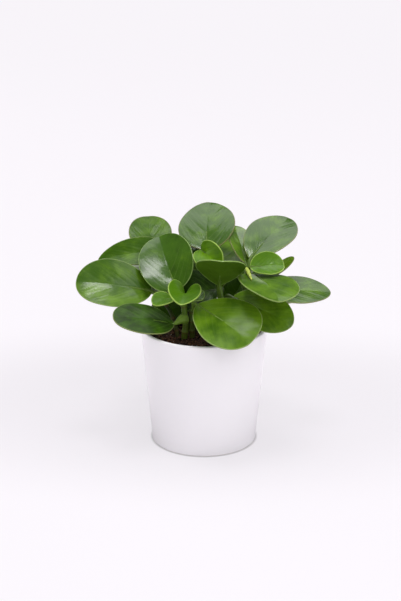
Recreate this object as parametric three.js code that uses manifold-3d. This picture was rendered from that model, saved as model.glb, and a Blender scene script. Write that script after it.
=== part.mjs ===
// A potted baby rubber plant (peperomia): a white glazed pot filled with soil,
// with eight thick stems that carry round, fleshy leaves on short stalks.
// Millimetres, +Z up. The origin is on the pot's axis, in the plane it stands on.
// The plant is seen from the front along +Y, with +X to the right.
import * as THREE from "three";
import { mergeVertices } from "three/addons/utils/BufferGeometryUtils.js";
import Module from "manifold-3d";

const wasm = await Module();
wasm.setup();

// ---- driving dimensions ----------------------------------------------------

const POT_HEIGHT = 124;
const RIM_RADIUS = 65;
const BASE_RADIUS = 54.2;
const WALL = 4;
const FLOOR = 6;
const FOOT_BEVEL = 1.4;
const LIP_BEVEL = 0.9;
const POT_SEGMENTS = 64;

const SOIL_DEPTH_BELOW_RIM = 9;
const SOIL_LEVEL = POT_HEIGHT - SOIL_DEPTH_BELOW_RIM;
const SOIL_RINGS = 4;
const SOIL_SEGMENTS = 32;
const SOIL_BUMP = 1.1;

const GAP = 0.3;
const STEM_DEPTH = 16;
const STEM_SIDES = 8;
const STEM_STEPS = 9;

const BLADE_THICKNESS = 1.2;
const BLADE_ROWS = 8;
const BLADE_COLUMNS = 6;
const STALK_SIDES = 5;
const STALK_STEPS = 8;
const STALK_RADIUS = 1.9;
const YOUNG_STALK_SHARE = 0.75;
const STALK_ARCH = 0.06;
const STALK_LEAD = 0.28;
const SHORT_STALK = 16;
const FLARE_SHARE = 0.5;
const RIB_SHARE = 0.35;
const RIB_RADIUS = 0.8;
const RIB_SINK = 0.65;
const BUD_RADIUS = 2.1;
const BUD_END_SHARE = 0.35;
const BUD_STEPS = 6;

const WHITE_GLAZE = { color: 0xe9e5ea, roughness: 0.3, metalness: 0 };
const DARK_SOIL = { color: 0x2c2018, roughness: 1, metalness: 0 };
const STEM_GREEN = { color: 0x6f8f3a, roughness: 0.5, metalness: 0 };
const LEAF_GREEN = { color: 0x3f6b1c, roughness: 0.35, metalness: 0 };
const YOUNG_GREEN = { color: 0x6a9a1e, roughness: 0.35, metalness: 0 };

// ---- the plant -------------------------------------------------------------

// Each stem: the points that it passes from the soil upwards, and its radius at
// the soil and at the tip. A bud, where there is one, is a last set of points.
const STEMS = {
  stem_front_left: {
    points: [[-20, -15, SOIL_LEVEL], [-18.5, -15, 131], [-20, -14.5, 145], [-21, -12, 158]],
    radii: [3.5, 2.9],
  },
  stem_front: {
    points: [[-12, -16, SOIL_LEVEL], [-12, -17, 132], [-12, -18, 149]],
    radii: [3.1, 2.6],
  },
  stem_left: {
    points: [[-27, -11, SOIL_LEVEL], [-29, -6, 124], [-34, 2, 136], [-42, 8, 147], [-49, 9, 154]],
    radii: [2.2, 1.9],
  },
  stem_centre: {
    points: [[15, 0, SOIL_LEVEL], [17, -1, 140], [16, 0, 160], [10, 4, 178], [1, 9, 193]],
    radii: [3.5, 2.6],
  },
  stem_right: {
    points: [[31, -5, SOIL_LEVEL], [39, -5, 140], [44, -3, 165], [45, -1, 185]],
    radii: [3.4, 2.6],
    bud: [[45, -1, 183], [42.5, -8, 187], [43.5, -20, 189], [47, -40, 186]],
  },
  stem_back_left: {
    points: [[-16, 14, SOIL_LEVEL], [-20, 20, 140], [-27, 32, 164], [-32, 44, 182]],
    radii: [3.4, 2.6],
  },
  stem_back: {
    points: [[6, 20, SOIL_LEVEL], [7, 26, 140], [5, 30, 162], [3, 31, 186]],
    radii: [3.4, 2.6],
  },
  stem_back_right: {
    points: [[30, 16, SOIL_LEVEL], [38, 20, 138], [46, 26, 154], [54, 28, 166]],
    radii: [3.4, 2.6],
  },
};

// Each leaf: the stem and the height it leaves it at, the point where its stalk
// meets the blade, the compass heading of the blade (0 to the right, 90 to the
// back), its pitch and its roll in degrees, then its length and width. bend is
// how far the midrib droops, fold how far each half is raised at the base,
// tipFold at the tip, and curl how much further the margins rise. baseRound and
// tipRound shape the outline: smaller is rounder.
const LEAVES = [
  { name: "leaf_front_rim", stem: "stem_front", leave: 145, base: [-7.5, -30, 156.7],
    heading: 315, pitch: -13, roll: 19, length: 75, width: 69, bend: 12, fold: 15,
    baseRound: 0.78, tipRound: 0.44 },
  { name: "leaf_left_wide", stem: "stem_left", leave: 152, base: [-53, 9, 157.4],
    heading: 189, pitch: 13.4, roll: -44, length: 79, width: 56, bend: 14, fold: 12,
    baseRound: 0.62 },
  { name: "leaf_centre_left", stem: "stem_front_left", leave: 149, base: [-28.3, -7, 163],
    heading: 113, pitch: 43, roll: -28, length: 70, width: 59, bend: 14, fold: 16,
    baseRound: 0.45 },
  { name: "leaf_top", stem: "stem_back", leave: 184, base: [2.1, 22.9, 197.3],
    heading: 88, pitch: 35, roll: -8, length: 70, width: 60, bend: 14, fold: 6, baseRound: 0.5,
    tipRound: 0.65 },
  { name: "leaf_top_right", stem: "stem_right", leave: 182, base: [46.6, 6, 193.1],
    heading: 50, pitch: 29, roll: 12, length: 73, width: 52, bend: 14, fold: 8, baseRound: 0.74,
    tipRound: 0.63 },
  { name: "leaf_right_inner", stem: "stem_right", leave: 172, base: [42.9, 12, 186.4],
    heading: 103, pitch: 31, roll: 11, length: 57, width: 28, bend: 10, fold: 20 },
  { name: "leaf_right_front", stem: "stem_right", leave: 174, base: [52.4, -9.5, 180.9],
    heading: 290.5, pitch: 0, roll: -7, length: 63.5, width: 62, bend: 14, fold: 10,
    baseRound: 0.51, tipRound: 0.47 },
  { name: "leaf_right_far", stem: "stem_back_right", leave: 148, base: [60, 25, 149.9],
    heading: 0, pitch: 6, roll: 19, length: 72, width: 46, bend: 14, fold: 6, baseRound: 0.55,
    tipRound: 0.59 },
  { name: "leaf_right_low", stem: "stem_centre", leave: 150, base: [28.4, -14, 158.5],
    heading: 328, pitch: -10.5, roll: 47, length: 70, width: 42, bend: 14, fold: 6,
    baseRound: 0.64, tipRound: 0.54 },
  { name: "leaf_right_sliver", stem: "stem_back_right", leave: 164, base: [65.9, 18, 168.7],
    heading: 9, pitch: 40, roll: 48, length: 34, width: 10.5, bend: 10, fold: 10 },
  { name: "leaf_centre_fan", stem: "stem_centre", leave: 152, base: [15.2, -14, 172.1],
    heading: 273.5, pitch: 51.5, roll: -5, length: 54, width: 50.5, bend: 14, fold: 10,
    baseRound: 0.78 },
  { name: "leaf_centre_low", stem: "stem_centre", leave: 146, base: [14, 12, 158],
    heading: 190, pitch: -4, roll: -50, length: 42, width: 48, bend: 10, fold: 10 },
  { name: "leaf_left_low", stem: "stem_front_left", leave: 136, base: [-30.2, -24, 133.8],
    heading: 197, pitch: 18.5, roll: -20, length: 64.5, width: 49, bend: 14, fold: 1, stalk: 5.8,
    baseRound: 0.59 },
  { name: "leaf_left_upper", stem: "stem_back_left", leave: 180, base: [-33, 50, 187],
    heading: 188, pitch: 0, roll: -40, length: 78, width: 36, bend: 14, fold: 22,
    tipRound: 0.75 },
  { name: "leaf_left_back", stem: "stem_back_left", leave: 172, base: [-53.4, 60, 178.8],
    heading: 100, pitch: 45, roll: -2, length: 50, width: 46, bend: 10, fold: 8 },
  { name: "leaf_young_right", stem: "stem_right", leave: 178, base: [46.2, -9, 189.6],
    heading: 6.5, pitch: -2, roll: 34, length: 35, width: 32, bend: -6, fold: 15, curl: 20,
    baseRound: 0.52, young: true },
  { name: "leaf_young_left", stem: "stem_front_left", leave: 157, base: [-19, -16, 162],
    heading: 265, pitch: 12, roll: -10, length: 39, width: 44, bend: 14, fold: 72, tipFold: 22,
    baseRound: 0.5, young: true },
  { name: "leaf_young_centre", stem: "stem_centre", leave: 191, base: [-3.6, 4, 203.8],
    heading: 303, pitch: -9.5, roll: 51, length: 35.5, width: 36, bend: 10, fold: 56, tipFold: 28,
    baseRound: 0.5, young: true },
  { name: "leaf_young_small", stem: "stem_front_left", leave: 150, base: [-31.5, -16, 159],
    heading: 215, pitch: 0, roll: -20, length: 24, width: 22, bend: 14, fold: 25, young: true },
  { name: "leaf_young_side", stem: "stem_front_left", leave: 150, base: [-16, -12, 160],
    heading: 328, pitch: 4, roll: 20, length: 18, width: 20, bend: 10, fold: 20, young: true },
  { name: "leaf_back_mid", stem: "stem_back", leave: 158, base: [12, 34, 168],
    heading: 82, pitch: 20, roll: 0, length: 72, width: 58, bend: 14, fold: 8 },
  { name: "leaf_back_left", stem: "stem_back_left", leave: 148, base: [-28, 36, 158],
    heading: 128, pitch: 10, roll: 0, length: 68, width: 56, bend: 14, fold: 8 },
  { name: "leaf_back_right", stem: "stem_back_right", leave: 146, base: [42, 34, 158],
    heading: 62, pitch: 16, roll: 0, length: 58, width: 48, bend: 14, fold: 8 },
  { name: "leaf_back_left_low", stem: "stem_back_left", leave: 134, base: [-34, 25, 147],
    heading: 148, pitch: 14, roll: 0, length: 66, width: 54, bend: 14, fold: 8 },
  { name: "leaf_back_right_low", stem: "stem_back_right", leave: 128, base: [44, 26, 140],
    heading: 25, pitch: 0, roll: 0, length: 54, width: 46, bend: 14, fold: 8 },
  { name: "leaf_back_low", stem: "stem_back", leave: 132, base: [4, 38, 142],
    heading: 90, pitch: 35, roll: 0, length: 66, width: 50, bend: 14, fold: 8 },
  { name: "leaf_back_inner", stem: "stem_back", leave: 172, base: [-3, 34, 180],
    heading: 125, pitch: 28, roll: 0, length: 32, width: 34, bend: 14, fold: 8 },
  { name: "leaf_inner_right", stem: "stem_back_right", leave: 126, base: [27, 30, 136],
    heading: 62, pitch: 30, roll: -12, length: 55, width: 54, bend: 14, fold: 8,
    baseRound: 0.45 },
  { name: "leaf_inner_left", stem: "stem_back", leave: 126, base: [-7, 28, 132],
    heading: 180, pitch: 0, roll: -70, length: 48, width: 30, bend: 6, fold: 6 },
];

// ---- solids ----------------------------------------------------------------

const radians = THREE.MathUtils.degToRad;
const vector = ([x, y, z]) => new THREE.Vector3(x, y, z);

// A closed geometry from its points and its triangles.
function closedGeometry(points, triangles) {
  const geometry = new THREE.BufferGeometry();
  const places = points.flatMap((p) => [p.x, p.y, p.z]);
  geometry.setAttribute("position", new THREE.Float32BufferAttribute(places, 3));
  geometry.setIndex(triangles);
  return geometry;
}

function toSolid(geometry) {
  const bare = geometry.clone();
  bare.deleteAttribute("normal");
  bare.deleteAttribute("uv");
  const merged = mergeVertices(bare, 1e-4);
  return new wasm.Manifold(
    new wasm.Mesh({
      numProp: 3,
      vertProperties: new Float32Array(merged.attributes.position.array),
      triVerts: new Uint32Array(merged.index.array),
    }),
  );
}

function toGeometry(solid) {
  const mesh = solid.getMesh();
  const geometry = new THREE.BufferGeometry();
  geometry.setAttribute("position", new THREE.BufferAttribute(mesh.vertProperties.slice(), 3));
  geometry.setIndex(new THREE.BufferAttribute(mesh.triVerts.slice(), 1));
  geometry.computeVertexNormals();
  return geometry;
}

// A round rod along a curve: a ring of points at each step, its radius given by
// radiusAt(share of the length), closed by a point at each end.
function rod(curve, radiusAt, sides, steps) {
  const frames = curve.computeFrenetFrames(steps, false);
  const points = [];
  const triangles = [];
  for (let i = 0; i <= steps; i++) {
    const centre = curve.getPointAt(i / steps);
    for (let k = 0; k < sides; k++) {
      const angle = (2 * Math.PI * k) / sides;
      const spoke = frames.normals[i].clone().multiplyScalar(Math.cos(angle));
      spoke.addScaledVector(frames.binormals[i], Math.sin(angle));
      points.push(centre.clone().addScaledVector(spoke, radiusAt(i / steps)));
    }
  }
  const start = points.push(curve.getPointAt(0)) - 1;
  const end = points.push(curve.getPointAt(1)) - 1;
  for (let k = 0; k < sides; k++) {
    const next = (k + 1) % sides;
    for (let i = 0; i < steps; i++) {
      const a = i * sides + k;
      const b = i * sides + next;
      triangles.push(a, b, a + sides, b, b + sides, a + sides);
    }
    triangles.push(start, next, k);
    triangles.push(end, steps * sides + k, steps * sides + next);
  }
  return toSolid(closedGeometry(points, triangles));
}

function stemCurve({ points }) {
  const foot = vector(points[0]);
  const below = foot.clone().setZ(foot.z - STEM_DEPTH);
  return new THREE.CatmullRomCurve3([below, ...points.map(vector)]);
}

// A stem narrows evenly from the soil to its tip, and a bud is a spindle on its
// end. margin widens the whole stem, to cut clear room for it.
function stemSolid(stem, margin = 0) {
  const curve = stemCurve(stem);
  const [foot, tip] = stem.radii;
  const radiusAt = (share) => foot + (tip - foot) * share + margin;
  let solid = rod(curve, radiusAt, STEM_SIDES, STEM_STEPS);
  if (stem.bud) {
    const swell = (share) => BUD_END_SHARE + (1 - BUD_END_SHARE) * Math.sin(Math.PI * share);
    const budCurve = new THREE.CatmullRomCurve3(stem.bud.map(vector));
    const budRadiusAt = (share) => BUD_RADIUS * swell(share) + margin;
    solid = solid.add(rod(budCurve, budRadiusAt, STALK_SIDES, BUD_STEPS));
  }
  return solid;
}

// The point on a stem's centre line at a given height, found by halving.
function pointAtHeight(curve, height) {
  const halvings = 24;
  let low = 0;
  let high = 1;
  for (let i = 0; i < halvings; i++) {
    const middle = (low + high) / 2;
    if (curve.getPointAt(middle).z < height) low = middle;
    else high = middle;
  }
  return curve.getPointAt(low);
}

// The blade's own directions: forward along the midrib, left, and up from its face.
function bladeAxes({ heading, pitch, roll }) {
  const a = radians(heading);
  const p = radians(pitch);
  const r = radians(roll);
  const ahead = new THREE.Vector3(Math.cos(a), Math.sin(a), 0);
  const forward = ahead.multiplyScalar(Math.cos(p)).setZ(Math.sin(p));
  const level = new THREE.Vector3(-Math.sin(a), Math.cos(a), 0);
  const raised = new THREE.Vector3().crossVectors(forward, level);
  const left = level.clone().multiplyScalar(Math.cos(r)).addScaledVector(raised, Math.sin(r));
  const up = raised.clone().multiplyScalar(Math.cos(r)).addScaledVector(level, -Math.sin(r));
  return { forward, left, up };
}

// The midrib is an arc that droops by bend over the length. Here are the point at
// a share s of it, and the face's own up direction there.
function midribAt(leaf, s) {
  const { forward, left, up } = bladeAxes(leaf);
  const bend = radians(leaf.bend);
  const along = (leaf.length * Math.sin(bend * s)) / bend;
  const drop = (leaf.length * (1 - Math.cos(bend * s))) / bend;
  const point = vector(leaf.base).addScaledVector(forward, along).addScaledVector(up, -drop);
  const rise = up.clone().multiplyScalar(Math.cos(bend * s)).addScaledVector(forward, Math.sin(bend * s));
  return { point, rise, left };
}

// The half width at a share s: s^baseRound (1 - s)^tipRound, with 1 at its widest.
function halfWidth({ width, baseRound = 0.58, tipRound = 0.5 }, s) {
  const widest = baseRound / (baseRound + tipRound);
  const shape = (x) => x ** baseRound * (1 - x) ** tipRound;
  return (width / 2) * (shape(s) / shape(widest));
}

// A point of the blade's upper face and the direction out of it. v runs from -1 on
// the right margin to 1 on the left one. Each half rises at the fold's angle and
// turns up further by curl.
function bladePoint(leaf, s, v) {
  const { point, rise, left } = midribAt(leaf, s);
  const tipFold = leaf.tipFold ?? leaf.fold;
  const fold = radians(leaf.fold + (tipFold - leaf.fold) * s);
  const curl = radians(leaf.curl ?? 0);
  const t = Math.abs(v);
  const across = curl ? (Math.sin(fold + curl * t) - Math.sin(fold)) / curl : t * Math.cos(fold);
  const above = curl ? (Math.cos(fold) - Math.cos(fold + curl * t)) / curl : t * Math.sin(fold);
  const half = halfWidth(leaf, s);
  point.addScaledVector(left, Math.sign(v) * half * across).addScaledVector(rise, half * above);
  const lean = v === 0 ? 0 : fold + curl * t;
  const out = rise.clone().multiplyScalar(Math.cos(lean));
  out.addScaledVector(left, -Math.sign(v) * Math.sin(lean));
  return { point, out };
}

// The blade as a closed plate: an upper and a lower face with the same triangles,
// walls along both margins, and a short edge at the base and at the tip.
function bladeSolid(leaf) {
  const upper = [];
  const lower = [];
  const put = (s, v) => {
    const { point, out } = bladePoint(leaf, s, v);
    upper.push(point);
    lower.push(point.clone().addScaledVector(out, -BLADE_THICKNESS));
  };
  for (let i = 1; i < BLADE_ROWS; i++) {
    const s = (1 - Math.cos((Math.PI * i) / BLADE_ROWS)) / 2;
    for (let j = 0; j <= BLADE_COLUMNS; j++) put(s, (2 * j) / BLADE_COLUMNS - 1);
  }
  const base = upper.length;
  put(0, 0);
  const tip = upper.length;
  put(1, 0);

  const row = BLADE_COLUMNS + 1;
  const last = (BLADE_ROWS - 2) * row;
  const faces = [];
  for (let j = 0; j < BLADE_COLUMNS; j++) {
    faces.push([base, j, j + 1]);
    faces.push([tip, last + j + 1, last + j]);
    for (let i = 0; i < last; i += row) {
      const a = i + j;
      const mirrored = j >= BLADE_COLUMNS / 2;
      if (mirrored) faces.push([a, a + row, a + row + 1], [a, a + row + 1, a + 1]);
      else faces.push([a, a + row, a + 1], [a + 1, a + row, a + row + 1]);
    }
  }
  const under = upper.length;
  const triangles = [];
  for (const [a, b, c] of faces) triangles.push(a, b, c, a + under, c + under, b + under);
  const margin = [base];
  for (let i = 0; i <= last; i += row) margin.push(i);
  margin.push(tip);
  for (let i = last; i >= 0; i -= row) margin.push(i + BLADE_COLUMNS);
  for (let k = 0; k < margin.length; k++) {
    const a = margin[k];
    const b = margin[(k + 1) % margin.length];
    triangles.push(a, b + under, b, a, a + under, b + under);
  }
  return toSolid(closedGeometry([...upper, ...lower], triangles));
}

// The stalk leaves the stem and arches over by STALK_ARCH of its reach. It comes
// into the blade's own direction from STALK_LEAD of its reach behind the blade,
// unless it is short, and runs on under the blade as its rib, thinner and thinner.
// A stalk with a thickness of its own is a flared one, and thins at once.
function stalkSolid(leaf, stem) {
  const { forward } = bladeAxes(leaf);
  const from = pointAtHeight(stemCurve(stem), leaf.leave);
  const to = vector(leaf.base);
  const reach = from.distanceTo(to);
  const arched = from.clone().lerp(to, 1 / 3);
  arched.z += STALK_ARCH * reach;
  const points = [from, arched];
  if (reach > SHORT_STALK) points.push(to.clone().addScaledVector(forward, -STALK_LEAD * reach));
  const thinFrom = (0.4 * points.length) / (points.length + 2);
  for (const share of [0.04, 0.5, 1]) {
    const { point, rise } = midribAt(leaf, share * RIB_SHARE);
    points.push(point.addScaledVector(rise, -RIB_SINK * BLADE_THICKNESS));
  }
  const curve = new THREE.CatmullRomCurve3(points);
  const thick = leaf.stalk ?? (leaf.young ? YOUNG_STALK_SHARE : 1) * STALK_RADIUS;
  const [thinStart, thinEnd] = leaf.stalk ? [0, FLARE_SHARE] : [thinFrom, 1];
  const thinning = (share) => THREE.MathUtils.smoothstep(share, thinStart, thinEnd);
  const radiusAt = (share) => thick + (RIB_RADIUS - thick) * thinning(share);
  return rod(curve, radiusAt, STALK_SIDES, STALK_STEPS);
}

// ---- sub-parts ---------------------------------------------------------------

function piece(name, geometry, finish) {
  const mesh = new THREE.Mesh(geometry, new THREE.MeshStandardMaterial(finish));
  mesh.name = name;
  return mesh;
}

// A slightly tapered pot with a flat base, its lip and the edge of its base eased.
function potGeometry() {
  const footRadius = BASE_RADIUS - FOOT_BEVEL;
  const taper = (RIM_RADIUS - BASE_RADIUS) / POT_HEIGHT;
  const inner = (z) => BASE_RADIUS + taper * z - WALL;
  const profile = [
    [0, 0],
    [footRadius, 0],
    [BASE_RADIUS, FOOT_BEVEL],
    [RIM_RADIUS - taper * LIP_BEVEL, POT_HEIGHT - LIP_BEVEL],
    [RIM_RADIUS - LIP_BEVEL, POT_HEIGHT],
    [RIM_RADIUS - WALL + LIP_BEVEL, POT_HEIGHT],
    [inner(POT_HEIGHT - LIP_BEVEL), POT_HEIGHT - LIP_BEVEL],
    [inner(2 * FLOOR), 2 * FLOOR],
    [inner(FLOOR) - FLOOR / 2, FLOOR],
    [0, FLOOR],
  ];
  return new THREE.LatheGeometry(profile.map(([x, y]) => new THREE.Vector2(x, y)), POT_SEGMENTS)
    .rotateX(Math.PI / 2);
}

// Soil fills the pot from its floor to just under the lip. Its top is a disc of
// rings with low bumps, and it has a plain hole round each stem.
function soilSolid() {
  const taper = (RIM_RADIUS - BASE_RADIUS) / POT_HEIGHT;
  const radius = (z) => BASE_RADIUS + taper * z - WALL - 2 * GAP;
  const bottom = 2 * FLOOR;
  const bump = (x, y) =>
    SOIL_BUMP * (Math.sin(0.21 * x + 0.6) * Math.cos(0.17 * y) + 0.5 * Math.sin(0.33 * y - 0.2 * x));
  const points = [];
  const triangles = [];
  const ring = (r, z, bumpy) => {
    for (let k = 0; k < SOIL_SEGMENTS; k++) {
      const angle = (2 * Math.PI * k) / SOIL_SEGMENTS;
      const [x, y] = [r * Math.cos(angle), r * Math.sin(angle)];
      points.push(new THREE.Vector3(x, y, z + (bumpy ? bump(x, y) : 0)));
    }
  };
  ring(radius(bottom), bottom, false);
  for (let i = SOIL_RINGS; i > 0; i--) ring((radius(SOIL_LEVEL) * i) / SOIL_RINGS, SOIL_LEVEL, true);
  const under = points.push(new THREE.Vector3(0, 0, bottom)) - 1;
  const over = points.push(new THREE.Vector3(0, 0, SOIL_LEVEL + bump(0, 0))) - 1;
  for (let k = 0; k < SOIL_SEGMENTS; k++) {
    const next = (k + 1) % SOIL_SEGMENTS;
    for (let i = 0; i < SOIL_RINGS; i++) {
      const a = i * SOIL_SEGMENTS;
      const b = a + SOIL_SEGMENTS;
      triangles.push(a + k, a + next, b + next, a + k, b + next, b + k);
    }
    const top = SOIL_RINGS * SOIL_SEGMENTS;
    triangles.push(under, next, k);
    triangles.push(over, top + k, top + next);
  }
  return toSolid(closedGeometry(points, triangles));
}

const group = new THREE.Group();
group.add(piece("pot", potGeometry(), WHITE_GLAZE));

let soil = soilSolid();
const roomForStem = {};
for (const [name, stem] of Object.entries(STEMS)) {
  roomForStem[name] = stemSolid(stem, GAP);
  soil = soil.subtract(roomForStem[name]);
  group.add(piece(name, toGeometry(stemSolid(stem)), STEM_GREEN));
}
group.add(piece("soil", toGeometry(soil), DARK_SOIL));

for (const leaf of LEAVES) {
  const whole = bladeSolid(leaf).add(stalkSolid(leaf, STEMS[leaf.stem]));
  const clear = whole.subtract(roomForStem[leaf.stem]);
  group.add(piece(leaf.name, toGeometry(clear), leaf.young ? YOUNG_GREEN : LEAF_GREEN));
}

export default group;
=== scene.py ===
# A potted baby rubber plant (peperomia) on a pale studio floor. The plant's solids
# give every piece its place. The pieces here follow them with finer surfaces: a
# glazed pot, crumbly soil, fleshy stems and stalks, and leaves with veins.
from math import cos, pi, radians, sin

import bpy
import numpy as np
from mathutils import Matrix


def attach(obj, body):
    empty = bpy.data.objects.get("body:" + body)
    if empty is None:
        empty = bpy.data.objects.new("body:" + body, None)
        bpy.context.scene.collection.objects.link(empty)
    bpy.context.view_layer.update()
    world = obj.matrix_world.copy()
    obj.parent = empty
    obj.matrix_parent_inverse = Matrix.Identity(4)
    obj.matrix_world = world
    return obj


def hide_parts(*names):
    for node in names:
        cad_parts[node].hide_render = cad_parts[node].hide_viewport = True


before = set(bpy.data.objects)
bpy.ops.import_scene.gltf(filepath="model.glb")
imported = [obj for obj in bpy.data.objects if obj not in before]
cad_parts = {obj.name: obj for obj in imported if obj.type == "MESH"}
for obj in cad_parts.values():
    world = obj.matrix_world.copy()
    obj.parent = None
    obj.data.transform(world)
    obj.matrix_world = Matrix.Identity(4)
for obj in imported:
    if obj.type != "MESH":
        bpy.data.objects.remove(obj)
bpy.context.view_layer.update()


# ---- camera -------------------------------------------------------------------
# The picture is taken from 1.62 m away with a long lens, from straight in front of
# the pot and a little above it, so that the soil just shows over the lip.
LENS = 95
CAMERA_DISTANCE = 1.62
CAMERA_DROP = radians(19.6)
AIM = (-0.0036, 0, 0.1501)

lens = bpy.data.cameras.new("camera")
lens.lens = LENS
camera = bpy.data.objects.new("camera", lens)
camera.location = (
    AIM[0],
    AIM[1] - CAMERA_DISTANCE * cos(CAMERA_DROP),
    AIM[2] + CAMERA_DISTANCE * sin(CAMERA_DROP),
)
camera.rotation_euler = (pi / 2 - CAMERA_DROP, 0, 0)
bpy.context.scene.collection.objects.link(camera)
bpy.context.scene.camera = camera


# ---- floor and light ----------------------------------------------------------
# A wide pale floor without a seam, in a room that is bright only near the horizon.
# Glossy skins mirror three soft lamps: overhead, behind, and at the front right. Four
# large fills, which nothing mirrors, light the front, the top and the sides evenly.
FLOOR_RADIUS = 14
FLOOR_SIDES = 64
# how white the floor is to the plant, and to the camera, which mostly sees its glow
FLOOR_BOUNCE = 0.86
FLOOR_SEEN = 0.17
# distances in metres from the middle of the painted shadow behind the pot, with the
# glow there. Across the picture they are shortened by the scale, so the shadow is wide.
FLOOR_GLOWS = [(0.08, 0.68), (0.27, 0.77), (3.0, 0.885)]
FLOOR_SHADOW_CENTRE = (0.0, 0.09, 0.0)
FLOOR_SHADOW_SCALE = (0.45, 1.0, 1.0)
# the painted contact shadow round the pot's foot: where it is full, where it is gone, and its glow
FLOOR_CONTACT_SHADOW = (0.0543, 0.0568, 0.4)
STUDIO_TINT = (1.0, 0.97, 1.01)
# the room's brightness at the horizon, along the walls and overhead, and how steeply
# one looks up where each fades into the next, from 0 for level to 1 for straight up
SWEEP_STRENGTH = 1.05
WALL_STRENGTH = 0.1
CEILING_STRENGTH = 0.2
SWEEP_TO_WALL = (0.05, 0.28)
WALL_TO_CEILING = (0.4, 0.9)
LAMPS = [
    # name, power in watts, width and height in metres, place, the height over the
    # pot's foot at which it points, and whether glossy skins mirror it
    ("lamp_overhead", 11, 0.5, 0.5, (0.0, -0.2, 1.95), 0.15, True),
    ("lamp_back", 15, 1.8, 1.0, (0.15, 0.8, 1.85), 0.15, True),
    ("lamp_front_right", 5, 0.9, 0.8, (0.85, -0.75, 1.7), 0.15, True),
    ("lamp_fill", 25, 1.8, 1.8, (0.5, -2.2, 1.5), 0.1, False),
    ("lamp_fill_top", 9, 1.6, 1.6, (0.0, -0.2, 2.2), 0.1, False),
    ("lamp_rim_left", 13, 1.6, 1.2, (-1.7, 1.0, 0.65), 0.1, False),
    ("lamp_rim_right", 5, 1.6, 1.2, (1.7, 1.0, 0.65), 0.1, False),
]


def node(tree, kind, inputs=(), **settings):
    """A new shader node of this kind in tree: settings are its own properties, and
    inputs pairs a socket's name or number with a value or the output that feeds it."""
    made = tree.nodes.new("ShaderNode" + kind)
    for key, value in settings.items():
        setattr(made, key, value)
    for socket, value in dict(inputs).items():
        if isinstance(value, bpy.types.NodeSocket):
            tree.links.new(value, made.inputs[socket])
        else:
            made.inputs[socket].default_value = value
    return made


def spot(tree):
    """The point that is coloured, in metres, as a node's output."""
    return node(tree, "TexCoord").outputs["Object"]


def mix(tree, share, one, other):
    """The colour between one and other at share, as a node's output."""
    made = node(tree, "Mix", {0: share, 6: one, 7: other}, data_type="RGBA")
    return made.outputs[2]


def step_up(tree, value, low, high):
    """0 where value is under low and 1 where it is over high, smoothly between."""
    inputs = {"Value": value, "From Min": low, "From Max": high}
    return node(tree, "MapRange", inputs, interpolation_type="SMOOTHSTEP").outputs["Result"]


def grey(level):
    """The studio's tint at a linear strength, as a node colour."""
    return (*(level * part for part in STUDIO_TINT), 1.0)


def finish_material(name, **sockets):
    """A new material whose Principled shader has these plain values. Returns the
    material, its node tree and the shader."""
    material = bpy.data.materials.new(name)
    material.use_nodes = True
    shader = material.node_tree.nodes["Principled BSDF"]
    for key, value in sockets.items():
        shader.inputs[key.replace("_", " ")].default_value = value
    return material, material.node_tree, shader


turn = np.linspace(0, 2 * pi, FLOOR_SIDES, endpoint=False)
floor_mesh = bpy.data.meshes.new("floor")
edge = np.stack([FLOOR_RADIUS * np.cos(turn), FLOOR_RADIUS * np.sin(turn), 0 * turn], 1)
floor_mesh.from_pydata(edge.tolist(), [], [list(range(FLOOR_SIDES))])
floor = bpy.data.objects.new("floor", floor_mesh)
bpy.context.scene.collection.objects.link(floor)

# The floor glows where it is looked at, more so far away, which keeps it even up to
# the top of the picture as in an overlit studio. Behind the pot and in a thin line
# round its foot it glows less, which paints a shadow there and a contact shadow. To
# everything else it is plain white paper.
floor_paper, tree, shader = finish_material(
    "floor_paper", Roughness=0.9, Specular_IOR_Level=0.0, Emission_Strength=1.0
)
seen = node(tree, "LightPath").outputs["Is Camera Ray"]
place = spot(tree)
squeezed = node(tree, "VectorMath", {0: place, 1: FLOOR_SHADOW_SCALE}, operation="MULTIPLY")
from_shadow = {0: squeezed.outputs["Vector"], 1: FLOOR_SHADOW_CENTRE}
away = node(tree, "VectorMath", from_shadow, operation="DISTANCE").outputs["Value"]
(near, near_glow), (middle, middle_glow), (far, far_glow) = FLOOR_GLOWS
# painted shadow: near the middle of the patch the glow is low, as if the plant shaded the floor
glow = mix(tree, step_up(tree, away, near, middle), grey(near_glow), grey(middle_glow))
glow = mix(tree, step_up(tree, away, middle, far), glow, grey(far_glow))
from_pot = node(tree, "VectorMath", {0: place}, operation="LENGTH").outputs["Value"]
# painted contact shadow: the glow drops in a thin ring round the pot's foot
shadow_full, shadow_gone, shadow_glow = FLOOR_CONTACT_SHADOW
glow = mix(tree, step_up(tree, from_pot, shadow_full, shadow_gone), grey(shadow_glow), glow)
white = mix(tree, seen, grey(FLOOR_BOUNCE), grey(FLOOR_SEEN))
tree.links.new(white, shader.inputs["Base Color"])
tree.links.new(mix(tree, seen, grey(0.0), glow), shader.inputs["Emission Color"])
floor_mesh.materials.append(floor_paper)

room = bpy.data.worlds.new("room")
room.use_nodes = True
tree = room.node_tree
direction = node(tree, "TexCoord").outputs["Generated"]
upward = node(tree, "SeparateXYZ", {0: direction}).outputs["Z"]
off_sweep = step_up(tree, upward, *SWEEP_TO_WALL)
off_wall = step_up(tree, upward, *WALL_TO_CEILING)
walls = mix(tree, off_sweep, grey(SWEEP_STRENGTH), grey(WALL_STRENGTH))
walls = mix(tree, off_wall, walls, grey(CEILING_STRENGTH))
tree.links.new(walls, tree.nodes["Background"].inputs["Color"])
bpy.context.scene.world = room
bpy.context.scene.view_settings.view_transform = "Standard"

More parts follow.
